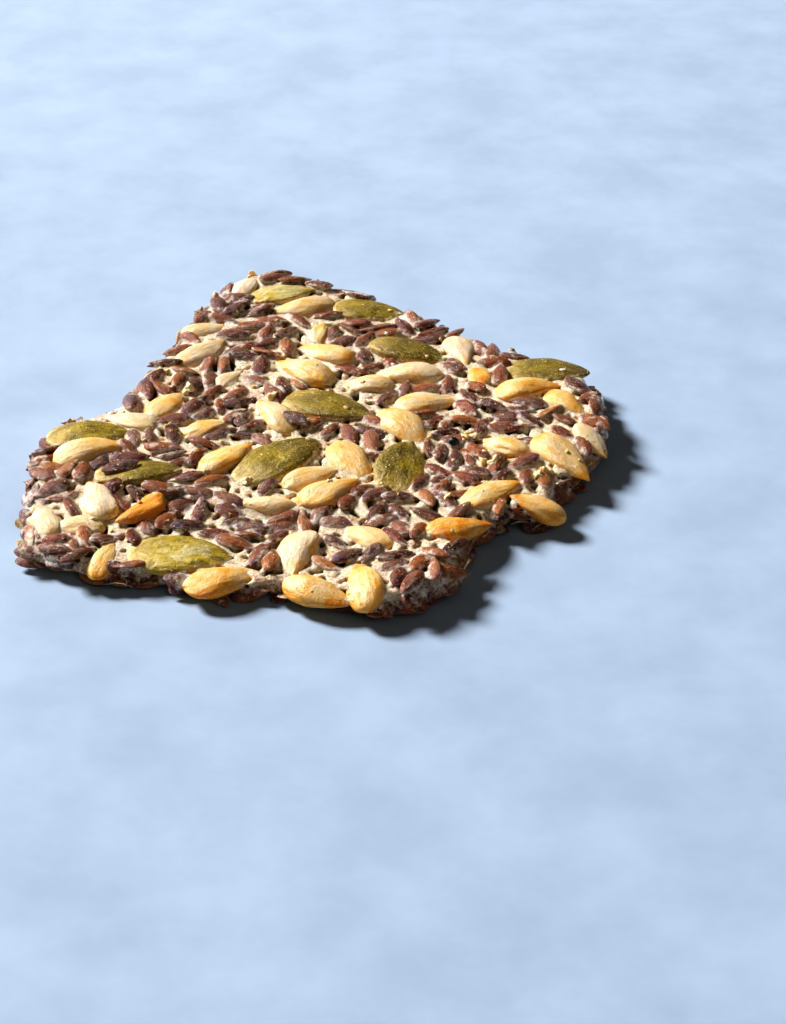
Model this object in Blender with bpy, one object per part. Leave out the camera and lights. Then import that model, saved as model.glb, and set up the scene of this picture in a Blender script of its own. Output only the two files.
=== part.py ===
"""A broken piece of seed cracker: pumpkin, sunflower and flax seeds held in a thin baked binder.

It is one solid. The slab of binder is a ragged, four-cornered shard, and the seeds are fused into its top,
its underside and its broken edge. The underside was baked on a tray, so its seeds end in flat spots on z = 0,
and the corners curl up a little from there.

Numbers are millimetres and degrees until MM turns them into Blender's metres. +Z is up, -Y is the side
towards the viewer, and the origin lies under the middle of the cracker's box.
"""

import math
import random
from collections import namedtuple

import bmesh
import bpy
import numpy as np
from mathutils import Matrix, Vector

MM = 0.001
NAME = "seed_cracker"
RANDOM_SEED = 11

# Driving dimensions of the slab
WIDTH = 82.0
DEPTH = 90.5
CORE_BOTTOM = 0.7
CORE_TOP = 3.85
RAGGEDNESS = 0.6
EDGE_STEP = 3.8
# How far in from the outline the broken side stands, at each height of the core
SIDE_SECTIONS = ((1.5, CORE_BOTTOM), (0.4, 1.6), (0.9, 2.5), (0.5, 3.2), (1.5, CORE_TOP))
# The shard's corners and the bends of its four broken sides, anticlockwise from the left corner
OUTLINE = (
    (-40.5, -25), (-38, -33), (-30, -37), (-22, -38.5), (-13, -40.5), (-4, -41), (4, -44.5), (13, -44.5),
    (18, -39.5), (20, -31.5), (24.5, -25.5), (31, -24), (34.5, -18), (39, -10.5), (41, -3), (40.5, 7),
    (38, 15), (29, 19), (21.5, 25.5), (15.5, 32), (8, 37), (-1, 42), (-8.5, 45), (-15.5, 43),
    (-19, 34.5), (-23, 24.5), (-26.5, 15), (-29.5, 6), (-36, 0), (-40.5, -7), (-41, -16),
)  # fmt: skip

# The middle of the finished cracker's box, in the coordinates of the tables here
MIDDLE = (-0.3, -0.6)

# The slab's bends: a sagging shelf along the near left side, and corners that curl up
SHELF_DROP = 0.95
SHELF_LINE = ((-34.0, -20.0), (8.0, -27.0))
SHELF_SOFTNESS = 2.6
SHELF_END = 14.0
CURL_RISE = ((-15.0, 43.0, 0.9), (41.0, 2.0, 0.8), (-40.0, -20.0, 0.6), (13.0, -43.0, 0.5))
CURL_REACH = 27.0

# Each kind of seed: its size, how far its tip is drawn out, and the rings and sides of its mesh
Kind = namedtuple("Kind", "length width thickness point rings sides")
KINDS = {
    "pepita": Kind(14.5, 8.2, 2.5, 0.22, 6, 8),
    "kernel": Kind(9.8, 4.9, 2.6, 0.42, 4, 6),
    "flax": Kind(4.9, 2.6, 1.2, 0.30, 3, 6),
}
Seed = namedtuple("Seed", "kind x y z heading tilt roll length")

# The seeds that stand out on the top: centre, way that the tip points, and length
PEPITAS = (
    (-6.5, -11.5, 45, 15.5), (11, -13.5, 80, 13.5), (0, 3.5, -25, 14.5), (-26, -15, 10, 12.5),
    (-34, -5, 12, 12), (-18.8, -34, -4, 14.5), (32.5, 14, -8, 14), (12.5, 20, -20, 13),
    (6.5, 33, -10, 12.5), (-7.8, 37.5, 18, 11),
)  # fmt: skip
KERNELS = (
    (-33.5, -10, 25, 11), (-13.7, -10.7, 50, 10.5), (-24.7, -24.5, 225, 8.7), (-31, -22, 110, 9.5),
    (-12.7, -39.2, 20, 10.5), (-7.5, -23, 175, 7.8), (-28.8, -35, 75, 7.5), (-28.5, -0.5, 160, 9),
    (-23.5, 3.8, 60, 9), (-17, -2.5, 30, 8), (-7, 0.7, 120, 10.5), (-1.5, -16, 35, 9.5),
    (1.2, -20.2, 40, 10.5), (4, -12, -60, 10.5), (11.5, -2.5, -55, 11), (14.9, 4.3, 15, 10),
    (25.5, -8, 150, 8.5), (19, -28.6, 25, 10), (23.5, -20.5, 35, 10.5), (29.8, -22.6, 160, 8.5),
    (34, -11, -55, 12), (38.3, -6.3, -60, 8), (29.8, 7.5, 15, 10), (35.3, 3, -50, 8.5),
    (-2.9, -34, 260, 10.8), (0, -42.3, -30, 10.5), (6, -41.8, 100, 10), (-4, 33.3, 200, 10.5),
    (-13.5, 40.5, 75, 8), (-0.3, 19.5, 150, 10), (-3.5, 13.8, 140, 11.5), (12, 13, 178, 11),
    (5.6, 9.6, 180, 9), (20, 20.3, -75, 9), (-19.2, 19.2, 45, 10), (-37.6, -26, 110, 8.5),
    (-33.3, -27.5, 185, 8), (6.5, -30.5, 140, 8.5), (-1.5, 25.8, 80, 6.5), (-14.6, 11.6, 60, 6.5),
    (-25.6, 13.5, 65, 6), (-19, 26.5, 20, 8), (22.6, 12.8, 100, 6.5),
)  # fmt: skip

# Heights of the seeds' middles, and how many more of each the rule spreads over the top and the underside
TOP_LEVEL = {"pepita": 3.6, "kernel": 3.6, "flax": 4.1}
UNDER_LEVEL = {"pepita": 0.75, "kernel": 0.85, "flax": 0.45}
TOP_COUNTS = (("flax", 90),)
UNDER_COUNTS = (("pepita", 5), ("kernel", 14), ("flax", 36))
RIDERS = 10
RIM_FLAX_STEP = 12.0
RIM_ROWS = (1.25, 2.75)

# How closely the rule packs: the share of two seeds' radii that has to lie between them
ROOM = {"pepita": 0.92, "kernel": 0.86, "flax": 0.80}
TRIES = 60
DROOP_WITHIN = 4.5
DROOP_DEGREES = 16.0
DROOP_FALL = 0.75


def clear_scene():
    for obj in list(bpy.data.objects):
        bpy.data.objects.remove(obj)


def new_collection(name):
    collection = bpy.data.collections.new(name)
    bpy.context.scene.collection.children.link(collection)
    return collection


def spline_through(points, step):
    """A closed Catmull-Rom curve through the points, sampled about every step."""
    count = len(points)
    samples = []
    for i in range(count):
        a, b, c, d = (np.array(points[(i + k) % count], float) for k in (-1, 0, 1, 2))
        pieces = max(1, round(np.linalg.norm(c - b) / step))
        for t in np.arange(pieces) / pieces:
            square, cube = 2 * a - 5 * b + 4 * c - d, 3 * b - a - 3 * c + d
            samples.append(0.5 * (2 * b + (c - a) * t + square * t**2 + cube * t**3))
    return np.array(samples)


def outward_normals(loop):
    along = np.roll(loop, -1, axis=0) - np.roll(loop, 1, axis=0)
    normals = np.stack([along[:, 1], -along[:, 0]], axis=1)
    return normals / np.linalg.norm(normals, axis=1)[:, None]


def fitted_to_box(loop):
    """The loop, centred on the origin and brought to WIDTH by DEPTH."""
    low, high = loop.min(axis=0), loop.max(axis=0)
    return (loop - (low + high) / 2) * np.array([WIDTH, DEPTH]) / (high - low)


def ragged_outline(draw):
    loop = spline_through(OUTLINE, EDGE_STEP)
    jags = np.array([draw.uniform(-1, 1) for _ in loop]) * RAGGEDNESS
    return fitted_to_box(loop + outward_normals(loop) * jags[:, None])


class Slab:
    """The outline, with the questions that the placing rule asks of it."""

    def __init__(self, loop):
        self.loop = loop
        self.ends = np.roll(loop, -1, axis=0)

    def inside(self, x, y):
        x1, y1, x2, y2 = *self.loop.T, *self.ends.T
        straddles = (y1 > y) != (y2 > y)
        across = np.where(straddles, x1 + (y - y1) * (x2 - x1) / np.where(straddles, y2 - y1, 1), -math.inf)
        return np.count_nonzero(across > x) % 2 == 1

    def edge_near(self, x, y):
        """(how far inside the nearest edge the point is, the unit vector from it out across that edge)"""
        point, sides = np.array([x, y]), self.ends - self.loop
        share = np.clip(((point - self.loop) * sides).sum(axis=1) / (sides**2).sum(axis=1), 0, 1)
        nearest = self.loop + sides * share[:, None]
        away = np.linalg.norm(nearest - point, axis=1)
        best = int(away.argmin())
        out = np.array([sides[best][1], -sides[best][0]]) / np.linalg.norm(sides[best])
        return (away[best] if self.inside(x, y) else -away[best]), out


def taper(kind, t):
    """How wide the seed is at t, from -1 at its blunt end to 1 at its tip, against an ellipse."""
    return ((1 - t) ** KINDS[kind].point) * (1 - 0.13 * KINDS[kind].point)


def seed_size(seed):
    kind = KINDS[seed.kind]
    scale = seed.length / kind.length
    return seed.length, kind.width * scale, kind.thickness * scale


def footprint(seed):
    """(centres, radius) of three discs that cover about what the seed covers."""
    length, width, _ = seed_size(seed)
    heading = math.radians(seed.heading)
    reach = (length - width) / 2
    offsets = np.array([-reach, 0.0, reach * 1.1])
    centres = np.stack([seed.x + offsets * math.cos(heading), seed.y + offsets * math.sin(heading)], axis=1)
    return centres, width / 2


def height_over(seed, x, y):
    """Height of the seed's top above the point, or -inf beside it."""
    length, width, thickness = seed_size(seed)
    heading = math.radians(seed.heading)
    along = (x - seed.x) * math.cos(heading) + (y - seed.y) * math.sin(heading)
    across = (y - seed.y) * math.cos(heading) - (x - seed.x) * math.sin(heading)
    t = 2 * along / length
    if abs(t) >= 1:
        return -math.inf
    share = 2 * across / (width * math.sqrt(1 - t * t) * taper(seed.kind, t))
    if abs(share) >= 1:
        return -math.inf
    return seed.z + thickness / 2 * math.sqrt((1 - t * t) * (1 - share * share))


class Layout:
    """Seeds placed so far on one face of the slab, and the rule that finds room for more."""

    def __init__(self, slab, draw):
        self.slab, self.draw, self.seeds = slab, draw, []
        self.discs = np.zeros((0, 4))

    def add(self, seed):
        self.seeds.append(seed)
        centres, radius = footprint(seed)
        room = ROOM[seed.kind]
        rows = [(x, y, radius, room) for x, y in centres]
        self.discs = np.vstack([self.discs, rows])

    def has_room(self, seed):
        if not len(self.discs):
            return True
        centres, radius = footprint(seed)
        for centre in centres:
            apart = np.linalg.norm(self.discs[:, :2] - centre, axis=1)
            needed = (self.discs[:, 2] + radius) * np.minimum(self.discs[:, 3], ROOM[seed.kind])
            if (apart < needed).any():
                return False
        return True

    def random_seed(self, kind, level, margin):
        x = self.draw.uniform(-WIDTH / 2, WIDTH / 2)
        y = self.draw.uniform(-DEPTH / 2, DEPTH / 2)
        heading = self.draw.uniform(0, 360)
        lean = 9.0 if kind == "flax" else 5.0
        seed = Seed(
            kind, x, y, level + self.draw.uniform(-0.2, 0.2), heading,
            self.draw.uniform(-lean, lean), self.draw.uniform(-2 * lean, 2 * lean),
            KINDS[kind].length * self.draw.uniform(0.84, 1.08),
        )  # fmt: skip
        return seed if self.slab.edge_near(x, y)[0] > margin else None

    def scatter(self, kind, count, level):
        margin = KINDS[kind].width * 0.45
        placed = 0
        for _ in range(count * TRIES):
            seed = self.random_seed(kind, level, margin)
            if seed and self.has_room(seed):
                self.add(seed)
                placed += 1
                if placed == count:
                    return

    def ride_over(self, count):
        """Flax seeds that lie on the flanks of the larger seeds."""
        hosts = [s for s in self.seeds if s.kind != "flax"]
        for _ in range(count):
            host = self.draw.choice(hosts)
            length, width, _ = seed_size(host)
            turn = self.draw.uniform(0, 2 * math.pi)
            along, across = 0.32 * length * math.cos(turn), 0.34 * width * math.sin(turn)
            heading = math.radians(host.heading)
            x = host.x + along * math.cos(heading) - across * math.sin(heading)
            y = host.y + along * math.sin(heading) + across * math.cos(heading)
            tops = [height_over(s, x, y) for s in self.seeds]
            rider = Seed(
                "flax", x, y, max(tops) + 0.25, self.draw.uniform(0, 360), self.draw.uniform(-8, 8),
                self.draw.uniform(-20, 20), KINDS["flax"].length * self.draw.uniform(0.9, 1.05),
            )  # fmt: skip
            self.seeds.append(rider)


def seeds_on_top(slab, draw):
    top = Layout(slab, draw)
    for kind, rows in (("pepita", PEPITAS), ("kernel", KERNELS)):
        for x, y, heading, length in rows:
            level = TOP_LEVEL[kind] + draw.uniform(-0.12, 0.12)
            top.add(Seed(kind, x, y, level, heading, draw.uniform(-4, 4), draw.uniform(-9, 9), length))
    for kind, count in TOP_COUNTS:
        top.scatter(kind, count, TOP_LEVEL[kind])
    top.ride_over(RIDERS)
    return top.seeds


def seeds_under(slab, draw):
    under = Layout(slab, draw)
    under.add(Seed("pepita", 0, -1, UNDER_LEVEL["pepita"], 20, 0, 0, KINDS["pepita"].length))
    for kind, count in UNDER_COUNTS:
        under.scatter(kind, count, UNDER_LEVEL[kind])
    return [s._replace(tilt=s.tilt * 0.3, roll=s.roll * 0.3) for s in under.seeds]


def seeds_in_rim(slab, draw):
    """Flax standing out of the broken side, in two uneven rows, at every angle."""
    loop = spline_through(slab.loop, EDGE_STEP)
    normals = outward_normals(loop)
    steps = np.linalg.norm(np.roll(loop, -1, axis=0) - loop, axis=1)
    seeds = []
    for row, level in enumerate(RIM_ROWS):
        walked = row * RIM_FLAX_STEP / 2
        for point, normal, step in zip(loop, normals, steps):
            walked += step
            if walked < RIM_FLAX_STEP:
                continue
            walked -= RIM_FLAX_STEP * draw.uniform(0.8, 1.25)
            x, y = point - normal * draw.uniform(0.3, 1.1)
            height = level + draw.uniform(-0.45, 0.45)
            heading = math.degrees(math.atan2(normal[1], normal[0])) + 90 + draw.uniform(-50, 50)
            tilt, roll = draw.uniform(-28, 28), draw.uniform(15, 80)
            length = KINDS["flax"].length * draw.uniform(0.82, 1.05)
            seeds.append(Seed("flax", x, y, height, heading, tilt, roll, length))
    return seeds


def seed_matrix(seed, slab):
    """The seed's place, with the droop of those that hang over the broken edge."""
    inside, out = slab.edge_near(seed.x, seed.y)
    hang = 0.0 if seed.kind == "flax" else max(0.0, min(1.0, 1 - inside / DROOP_WITHIN))
    if seed.z < CORE_TOP / 2:
        hang = 0.0
    lowered = Matrix.Translation(Vector((seed.x, seed.y, seed.z - DROOP_FALL * hang)) * MM)
    droop = Matrix.Rotation(math.radians(DROOP_DEGREES * hang), 4, Vector((-out[1], out[0], 0)))
    turn = Matrix.Rotation(math.radians(seed.heading), 4, "Z")
    lean = Matrix.Rotation(math.radians(seed.tilt), 4, "Y") @ Matrix.Rotation(math.radians(seed.roll), 4, "X")
    return lowered @ droop @ turn @ lean


def seed_object(seed, slab, number, collection):
    """A sphere with its poles along the seed, drawn out to a tip and pressed flat where it met the tray."""
    kind = KINDS[seed.kind]
    length, width, thickness = seed_size(seed)
    bm = bmesh.new()
    bmesh.ops.create_uvsphere(bm, u_segments=kind.sides, v_segments=kind.rings, radius=1)
    place = seed_matrix(seed, slab)
    for v in bm.verts:
        across, up, along = v.co
        slim = taper(seed.kind, along)
        v.co = place @ (Vector((along * length, across * width * slim, up * thickness * slim)) / 2 * MM)
        v.co.z = max(v.co.z, 0.0)
    bmesh.ops.recalc_face_normals(bm, faces=bm.faces)
    mesh = bpy.data.meshes.new(f"{seed.kind}_{number}")
    bm.to_mesh(mesh)
    bm.free()
    obj = bpy.data.objects.new(mesh.name, mesh)
    collection.objects.link(obj)
    return obj


def core_mesh(slab, draw):
    """The slab of binder: its outline stood up through the side sections, closed by a flat top and bottom."""
    bm = bmesh.new()
    normals = outward_normals(slab.loop)
    rings = []
    for inset, height in SIDE_SECTIONS:
        ring = []
        for point, normal in zip(slab.loop, normals):
            x, y = point - normal * (inset + draw.uniform(-0.35, 0.35))
            ring.append(bm.verts.new(Vector((x, y, height)) * MM))
        rings.append(ring)
    for lower, upper in zip(rings, rings[1:]):
        for i in range(len(lower)):
            j = (i + 1) % len(lower)
            bm.faces.new((lower[i], lower[j], upper[j], upper[i]))
    bm.faces.new(list(reversed(rings[0])))
    bm.faces.new(rings[-1])
    bmesh.ops.recalc_face_normals(bm, faces=bm.faces)
    mesh = bpy.data.meshes.new(NAME)
    bm.to_mesh(mesh)
    bm.free()
    return mesh


def fuse(body, pieces):
    """One union of the body with everything in the collection, applied; the pieces are then removed."""
    union = body.modifiers.new("fuse_seeds", "BOOLEAN")
    union.operation = "UNION"
    union.operand_type = "COLLECTION"
    union.collection = pieces
    union.solver = "EXACT"
    union.use_self = True
    bpy.context.view_layer.update()
    fused = bpy.data.meshes.new_from_object(body.evaluated_get(bpy.context.evaluated_depsgraph_get()))
    body.modifiers.clear()
    body.data = fused
    for obj in list(pieces.objects):
        bpy.data.objects.remove(obj)
    bpy.data.collections.remove(pieces)


def keep_largest_island(mesh):
    """Drops loose scraps, and fills hollows that the fusing sealed by dropping their walls."""
    bm = bmesh.new()
    bm.from_mesh(mesh)
    unseen = set(bm.verts)
    islands = []
    while unseen:
        front = [unseen.pop()]
        island = set(front)
        while front:
            for edge in front.pop().link_edges:
                for v in edge.verts:
                    if v in unseen:
                        unseen.discard(v)
                        island.add(v)
                        front.append(v)
        islands.append(island)
    islands.sort(key=len)
    scraps = [v for island in islands[:-1] for v in island]
    bmesh.ops.delete(bm, geom=scraps, context="VERTS")
    bm.to_mesh(mesh)
    bm.free()


def even_out_facets(mesh):
    """Triangles that are as compact as their corners allow, so that the slab bends without creases."""
    bm = bmesh.new()
    bm.from_mesh(mesh)
    bmesh.ops.triangulate(bm, faces=bm.faces, quad_method="BEAUTY", ngon_method="BEAUTY")
    flat = {f for f in bm.faces if abs(f.normal.z) > 0.9999}
    seams = [e for e in bm.edges if e.is_manifold and flat.issuperset(e.link_faces)]
    bmesh.ops.beautify_fill(bm, faces=list(flat), edges=seams)
    bm.to_mesh(mesh)
    bm.free()


def smooth_step(t):
    t = np.clip(t, 0, 1)
    return t * t * (3 - 2 * t)


def bent(x, y, z):
    """Height of a point of the flat slab once the shelf has sagged and the corners have curled."""
    (x1, y1), (x2, y2) = SHELF_LINE
    line_y = y1 + (y2 - y1) * (x - x1) / (x2 - x1)
    below = smooth_step((line_y - y) / SHELF_SOFTNESS + 0.5)
    fade = smooth_step((SHELF_END - x) / SHELF_END)
    sag = SHELF_DROP * below * fade * np.clip(z / CORE_TOP, 0, 1)
    curl = 0.0
    for corner_x, corner_y, rise in CURL_RISE:
        near = 1 - np.hypot(x - corner_x, y - corner_y) / CURL_REACH
        curl = curl + rise * smooth_step(near)
    return z - sag + curl


def bend_and_centre(mesh):
    points = np.empty(len(mesh.vertices) * 3)
    mesh.vertices.foreach_get("co", points)
    points = points.reshape(-1, 3) / MM
    points[:, 2] = bent(*points.T)
    points[:, :2] -= MIDDLE
    mesh.vertices.foreach_set("co", (points * MM).ravel())
    mesh.update()


def baked_material():
    material = bpy.data.materials.new("baked_seeds_and_binder")
    material.use_nodes = True
    shader = material.node_tree.nodes["Principled BSDF"]
    shader.inputs["Base Color"].default_value = (0.36, 0.21, 0.11, 1)
    shader.inputs["Roughness"].default_value = 0.45
    shader.inputs["Metallic"].default_value = 0.0
    return material


def main():
    clear_scene()
    draw = random.Random(RANDOM_SEED)
    slab = Slab(ragged_outline(draw))
    cracker = new_collection(NAME)
    body = bpy.data.objects.new(NAME, core_mesh(slab, draw))
    cracker.objects.link(body)
    pieces = new_collection("seeds")
    seeds = seeds_on_top(slab, draw) + seeds_under(slab, draw) + seeds_in_rim(slab, draw)
    for number, seed in enumerate(seeds):
        seed_object(seed, slab, number, pieces)
    fuse(body, pieces)
    keep_largest_island(body.data)
    even_out_facets(body.data)
    bend_and_centre(body.data)
    body.data.materials.clear()
    body.data.materials.append(baked_material())
    body.data.shade_smooth()
    body.data.set_sharp_from_angle(angle=math.radians(40))


main()
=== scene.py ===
"""The looks of the seed cracker: its binder, its three kinds of seed, crumbs and flakes, on a pale floor.

The seeds lie where the solid has them, because the placing rule and its tables are the solid's own. More
flax is worked in between and below them. The binder is one skin drawn over the slab and all the seeds and
then relaxed, so that it sinks between them and clings to their sides.

Numbers are millimetres and degrees until MM turns them into metres. +Z is up and -Y is towards the viewer.
"""

import math
import random
from collections import namedtuple

import bmesh
import bpy
import numpy as np
from mathutils import Matrix, Vector, noise
from mathutils.bvhtree import BVHTree
from mathutils.kdtree import KDTree


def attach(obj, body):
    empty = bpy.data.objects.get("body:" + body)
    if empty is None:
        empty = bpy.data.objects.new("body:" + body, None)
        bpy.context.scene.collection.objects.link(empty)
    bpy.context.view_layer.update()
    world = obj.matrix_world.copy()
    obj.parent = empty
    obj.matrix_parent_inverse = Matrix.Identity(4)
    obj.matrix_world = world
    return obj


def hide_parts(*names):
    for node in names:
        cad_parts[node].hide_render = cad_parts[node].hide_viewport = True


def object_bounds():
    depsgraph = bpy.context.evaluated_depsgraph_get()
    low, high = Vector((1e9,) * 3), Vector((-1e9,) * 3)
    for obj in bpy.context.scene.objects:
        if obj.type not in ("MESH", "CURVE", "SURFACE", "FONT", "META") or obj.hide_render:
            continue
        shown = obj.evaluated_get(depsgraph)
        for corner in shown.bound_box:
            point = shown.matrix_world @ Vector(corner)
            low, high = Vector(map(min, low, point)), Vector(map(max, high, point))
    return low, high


MM = 0.001
NODE = "seed_cracker"
RANDOM_SEED = 11

# Driving dimensions of the slab
WIDTH = 82.0
DEPTH = 90.5
CORE_BOTTOM = 0.7
CORE_TOP = 3.85
RAGGEDNESS = 0.6
EDGE_STEP = 3.8
SIDE_SECTIONS = ((1.5, CORE_BOTTOM), (0.4, 1.6), (0.9, 2.5), (0.5, 3.2), (1.5, CORE_TOP))
OUTLINE = (
    (-40.5, -25), (-38, -33), (-30, -37), (-22, -38.5), (-13, -40.5), (-4, -41), (4, -44.5), (13, -44.5),
    (18, -39.5), (20, -31.5), (24.5, -25.5), (31, -24), (34.5, -18), (39, -10.5), (41, -3), (40.5, 7),
    (38, 15), (29, 19), (21.5, 25.5), (15.5, 32), (8, 37), (-1, 42), (-8.5, 45), (-15.5, 43),
    (-19, 34.5), (-23, 24.5), (-26.5, 15), (-29.5, 6), (-36, 0), (-40.5, -7), (-41, -16),
)
MIDDLE = (-0.3, -0.6)

# The slab's bends: a sagging shelf along the near left side, and corners that curl up
SHELF_DROP = 0.95
SHELF_LINE = ((-34.0, -20.0), (8.0, -27.0))
SHELF_SOFTNESS = 2.6
SHELF_END = 14.0
CURL_RISE = ((-15.0, 43.0, 0.9), (41.0, 2.0, 0.8), (-40.0, -20.0, 0.6), (13.0, -43.0, 0.5))
CURL_REACH = 27.0

# Each kind of seed: its size, how far its tip is drawn out, and the rings and sides of its mesh
Kind = namedtuple("Kind", "length width thickness point rings sides")
KINDS = {
    "pepita": Kind(14.5, 8.2, 2.5, 0.22, 56, 48),
    "kernel": Kind(9.8, 4.9, 2.6, 0.42, 36, 32),
    "flax": Kind(4.9, 2.6, 1.2, 0.30, 14, 12),
}
Seed = namedtuple("Seed", "kind x y z heading tilt roll length")

PEPITAS = (
    (-6.5, -11.5, 45, 15.5), (11, -13.5, 80, 13.5), (0, 3.5, -25, 14.5), (-26, -15, 10, 12.5),
    (-34, -5, 12, 12), (-18.8, -34, -4, 14.5), (32.5, 14, -8, 14), (12.5, 20, -20, 13),
    (6.5, 33, -10, 12.5), (-7.8, 37.5, 18, 11),
)
KERNELS = (
    (-33.5, -10, 25, 11), (-13.7, -10.7, 50, 10.5), (-24.7, -24.5, 225, 8.7), (-31, -22, 110, 9.5),
    (-12.7, -39.2, 20, 10.5), (-7.5, -23, 175, 7.8), (-28.8, -35, 75, 7.5), (-28.5, -0.5, 160, 9),
    (-23.5, 3.8, 60, 9), (-17, -2.5, 30, 8), (-7, 0.7, 120, 10.5), (-1.5, -16, 35, 9.5),
    (1.2, -20.2, 40, 10.5), (4, -12, -60, 10.5), (11.5, -2.5, -55, 11), (14.9, 4.3, 15, 10),
    (25.5, -8, 150, 8.5), (19, -28.6, 25, 10), (23.5, -20.5, 35, 10.5), (29.8, -22.6, 160, 8.5),
    (34, -11, -55, 12), (38.3, -6.3, -60, 8), (29.8, 7.5, 15, 10), (35.3, 3, -50, 8.5),
    (-2.9, -34, 260, 10.8), (0, -42.3, -30, 10.5), (6, -41.8, 100, 10), (-4, 33.3, 200, 10.5),
    (-13.5, 40.5, 75, 8), (-0.3, 19.5, 150, 10), (-3.5, 13.8, 140, 11.5), (12, 13, 178, 11),
    (5.6, 9.6, 180, 9), (20, 20.3, -75, 9), (-19.2, 19.2, 45, 10), (-37.6, -26, 110, 8.5),
    (-33.3, -27.5, 185, 8), (6.5, -30.5, 140, 8.5), (-1.5, 25.8, 80, 6.5), (-14.6, 11.6, 60, 6.5),
    (-25.6, 13.5, 65, 6), (-19, 26.5, 20, 8), (22.6, 12.8, 100, 6.5),
)
# How far each of those kernels is toasted, from white at 0 to orange at 1
KERNEL_TOAST = (
    0.38, 0.42, 0.98, 0.15, 0.52, 0.2, 0.55, 0.12, 0.5, 0.45, 0.38, 0.42,
    0.48, 0.42, 0.4, 0.35, 0.45, 0.72, 0.5, 0.54, 0.4, 0.12, 0.52, 0.55,
    0.22, 0.55, 0.55, 0.25, 0.05, 0.45, 0.38, 0.15, 0.25, 0.15, 0.22, 0.22,
    0.25, 0.4, 0.38, 0.12, 0.7, 0.3, 0.75,
)
# Kernels that lie higher than the others: (x, y) and by how much
PROUD = {(-24.7, -24.5): 0.7, (1.2, -20.2): 0.3, (-33.5, -10): 0.3, (-31, -22): 0.2, (29.8, 7.5): 0.2}
# How worn each pumpkin seed is, from its grey-green dusty skin at 0 to yellow-green at 1
PEPITA_WEAR = (0.30, 0.28, 0.30, 0.25, 0.55, 0.80, 0.18, 0.02, 0.38, 1.10)

# Heights of the seeds' middles, and how many more of each the rule spreads over the top and the underside.
# The riders are flax that lies over larger seeds
TOP_LEVEL = {"pepita": 3.6, "kernel": 3.6, "flax": 4.1}
UNDER_LEVEL = {"pepita": 0.75, "kernel": 0.85, "flax": 0.45}
TOP_COUNTS = (("flax", 90),)
UNDER_COUNTS = (("pepita", 5), ("kernel", 14), ("flax", 36))
RIDERS = 10
RIM_FLAX_STEP = 12.0
RIM_ROWS = (1.25, 2.75)
ROOM = {"pepita": 0.92, "kernel": 0.86, "flax": 0.80}
TRIES = 60

# Large seeds near the broken edge droop over it: how near, how steeply and how far down at the most
DROOP_WITHIN = 4.5
DROOP_DEGREES = 16.0
DROOP_FALL = 0.75

# What the solid leaves out. First flax, worked in between and below the solid's seeds, each row at a height,
# with so much room and up to so many
FILL_SEED = 5
TOP_FILLS = ((4.0, 0.67, 130), (3.75, 0.54, 80))
UNDER_FILLS = ((0.62, 0.62, 180),)
RIM_FILL_STEP = 4.2
RIM_FILL_ROWS = (1.1, 2.0, 3.0)
CLEAR_OF_HOST = 1.2
# How much of their drawn tilt and roll those seeds keep, and the seeds that the tray pressed flat
FILL_LEAN = (1.0, 2.0)
RIM_FILL_LEAN = (0.6, 0.7)
PRESSED_LEAN = (0.3, 0.3)
# How the seeds without a shade of their own get one
FLAX_DARKNESS = 1.4
HIDDEN_SHADES = (0.15, 0.65)
# Crumbs, then grains of starch: how many, least width, most added to it and the power of its draw, how fine
# their mesh is, the most that they are toasted and the power of its draw
LITTER = ((130, 0.30, 0.75, 3, 2, 0.9, 1), (2600, 0.12, 0.20, 2, 1, 0.7, 2))
FLAKES = 60
# The one round seed on top: x, y and width, how flat it is and how high its middle is above the slab
DARK_SEED = (18.5, -7.4, 1.4)
DARK_SEED_SQUASH = 0.9
DARK_SEED_RISE = 0.6
# Broken bits of kernel that stand out on top: x, y and width
BITS = (
    (15.4, -5.0, 1.6), (16.2, -3.9, 1.2), (20.6, -4.2, 1.9), (21.6, -6.2, 1.7), (20.2, -6.4, 1.1),
    (22.6, -12.0, 2.0), (24.1, -12.8, 1.4), (17.6, -22.1, 1.5), (31.5, -15.1, 2.6), (30.0, -16.6, 1.4),
    (-10.5, -17.5, 1.4), (-20.5, 7.5, 1.6), (-8.0, 5.8, 1.4),
)

# Flax that lies on and around the far left pumpkin seed: x, y and the way that the tip points
LAID_FLAX = (
    (-27.2, -11.9, 10), (-28.2, -15.2, 30), (-28.6, -19.0, 60), (-22.6, -9.6, -5), (-22.3, -20.2, -20),
)
LAID_LEVEL = 4.85
LAID_LIFT = 0.3
LAID_ROLL = 6.0
LAID_LENGTH = 1.04

# The binder's skin: how far below the solid's top it has sunk, and how little of each seed it takes in
SINK = 0.08
CLING = {"pepita": 0.24, "kernel": 0.14, "flax": 0.06}
VOXEL = 0.27
RELAX_STEPS = 9
SKIN_TRIANGLES = 190000
GRAIN = 0.11
SEED_COVER = 0.12

# Pits where it baked away: how deep, how close together, and the noise that they begin at, on top and below
PIT_DEPTH = 1.2
PIT_NOISE = 0.8
PIT_SLICE = 11.0
PIT_FROM = 0.15
UNDER_PIT_FROM = 0.30
PIT_SLOPE = 0.22
UNDER_BELOW = 1.7
UNDER_SPAN = 0.9

# Hollows between the seeds get painted shade, as the pits do: how many ways out are tried, how far, and the
# share that is blocked
HOLLOW_WAYS = 10
HOLLOW_START = 0.15
HOLLOW_REACH = 1.8
HOLLOW_OUTWARD = 1.05
HOLLOW_FROM = 0.35
HOLLOW_SPAN = 0.5
HOLLOW_PAINTED_SHADE = 0.75

# The film of starch that climbs the seeds from the bare binder, and is thinner in pits and low at the side
FILM_REACH = 1.15
BARE_ABOVE = 0.03
WORN_BELOW = 2.4
WORN_SPAN = 1.6
WORN_SHARE = 0.6
FILM_LOSS = 0.9

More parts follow.
